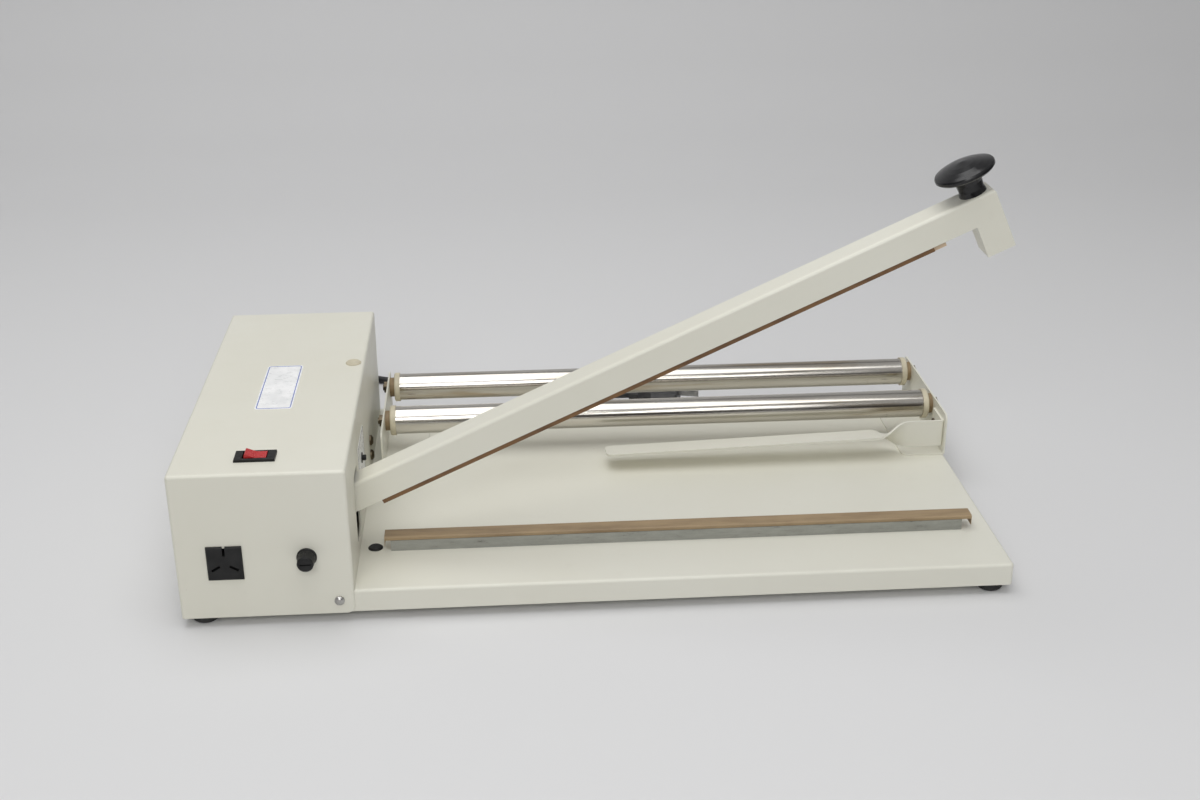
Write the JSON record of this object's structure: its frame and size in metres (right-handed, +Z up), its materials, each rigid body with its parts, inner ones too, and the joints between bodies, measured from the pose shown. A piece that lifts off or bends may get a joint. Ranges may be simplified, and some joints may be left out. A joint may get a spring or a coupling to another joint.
{
  "type": "film sealer",
  "caption": "Table-top film sealer: folded base pan with control box, hinged heated arm over a rubber-topped jaw, free film rollers and a twisted film separator.",
  "frame": {"origin": "on the table under the middle of the machine, its lead left out, with the arm raised", "axes": "+X along the lower jaw away from the control box, +Y from the operator to the rollers, +Z up"},
  "size_m": [0.6504, 0.5133, 0.3354],
  "materials": {
    "cream_paint": "semi-gloss",
    "jaw_aluminium": "satin",
    "silicone": "matte",
    "ptfe_tape": "matte",
    "bar_plastic": "matte",
    "heating_wire": "satin",
    "spring_steel": "satin",
    "roller_steel": "polished",
    "plug_plastic": "satin",
    "spacer_plastic": "satin",
    "black_plastic": "gloss",
    "black_matte": "matte",
    "red_plastic": "gloss",
    "zinc_steel": "satin",
    "black_steel": "satin",
    "foot_rubber": "matte",
    "core_steel": "satin",
    "winding": "satin",
    "cord_rubber": "satin"
  },
  "bodies": {
    "base": {"base_pan": "cream_paint", "control_cover": "cream_paint", "cover_screws": "zinc_steel", "rocker_bezel": "black_plastic", "mains_socket": "black_plastic", "fuse_holder": "black_plastic", "cover_hole_plug": "plug_plastic", "base_hole_plug": "black_matte", "timer_body": "black_matte", "side_bolts": "black_steel", "transformer_core": "core_steel", "transformer_winding": "winding", "jaw_channel": "jaw_aluminium", "jaw_rubber": "silicone", "jaw_tape": "ptfe_tape", "pivot_stand": "zinc_steel", "pivot_pin": "zinc_steel", "return_spring": "spring_steel", "separator_strip": "cream_paint", "separator_screw": "black_steel", "bracket_screws": "zinc_steel", "roller_bracket_left": "cream_paint", "roller_bracket_right": "cream_paint", "strain_relief": "cord_rubber", "lead_tail": "cord_rubber", "lead_coil": "cord_rubber", "lead_run": "cord_rubber", "mains_plug": "cord_rubber", "plug_pins": "zinc_steel", "axle_front": "black_steel", "spacer_front_left": "spacer_plastic", "foot_front_left": "foot_rubber", "spacer_front_right": "spacer_plastic", "foot_front_right": "foot_rubber", "axle_rear": "black_steel", "spacer_rear_left": "spacer_plastic", "foot_rear_left": "foot_rubber", "spacer_rear_right": "spacer_plastic", "foot_rear_right": "foot_rubber"},
    "arm": {"arm_channel": "cream_paint", "heater_bar": "bar_plastic", "heating_ribbon": "heating_wire", "heater_tape": "ptfe_tape", "terminal_right": "spring_steel", "terminal_left": "spring_steel", "arm_knob": "black_plastic"},
    "roller_front": {"roller_tube_front": "roller_steel", "end_plug_front_left": "plug_plastic", "end_plug_front_right": "plug_plastic"},
    "roller_rear": {"roller_tube_rear": "roller_steel", "end_plug_rear_left": "plug_plastic", "end_plug_rear_right": "plug_plastic"},
    "rocker": {"rocker_button": "red_plastic"},
    "fuse_cap": {"fuse_cap": "black_plastic"},
    "timer_spindle": {"timer_spindle": "black_matte"}
  },
  "joints": [
    {"name": "arm_hinge", "type": "hinge", "parent": "base", "child": "arm", "pos_m": [-0.2404, -0.09845, 0.0548], "axis": [0, 1, 0], "range_deg": [0, 24.8], "stiffness_Nm_per_rad": 4, "springref_deg": -31.51},
    {"name": "roller_front_spin", "type": "hinge", "parent": "base", "child": "roller_front", "pos_m": [0.067, 0.08345, 0.0556], "axis": [1, 0, 0], "continuous": true},
    {"name": "roller_rear_spin", "type": "hinge", "parent": "base", "child": "roller_rear", "pos_m": [0.067, 0.16085, 0.0556], "axis": [1, 0, 0], "continuous": true},
    {"name": "rocker_tip", "type": "hinge", "parent": "base", "child": "rocker", "pos_m": [-0.2606, -0.13845, 0.1283], "axis": [0, -1, 0], "range_deg": [0, 22]},
    {"name": "fuse_cap_turn", "type": "hinge", "parent": "base", "child": "fuse_cap", "pos_m": [-0.2253, -0.17475, 0.0575], "axis": [0, 1, 0], "range_deg": [0, 90]},
    {"name": "timer_turn", "type": "hinge", "parent": "base", "child": "timer_spindle", "pos_m": [-0.192, -0.04175, 0.079], "axis": [1, 0, 0], "range_deg": [-150, 150]}
  ]
}
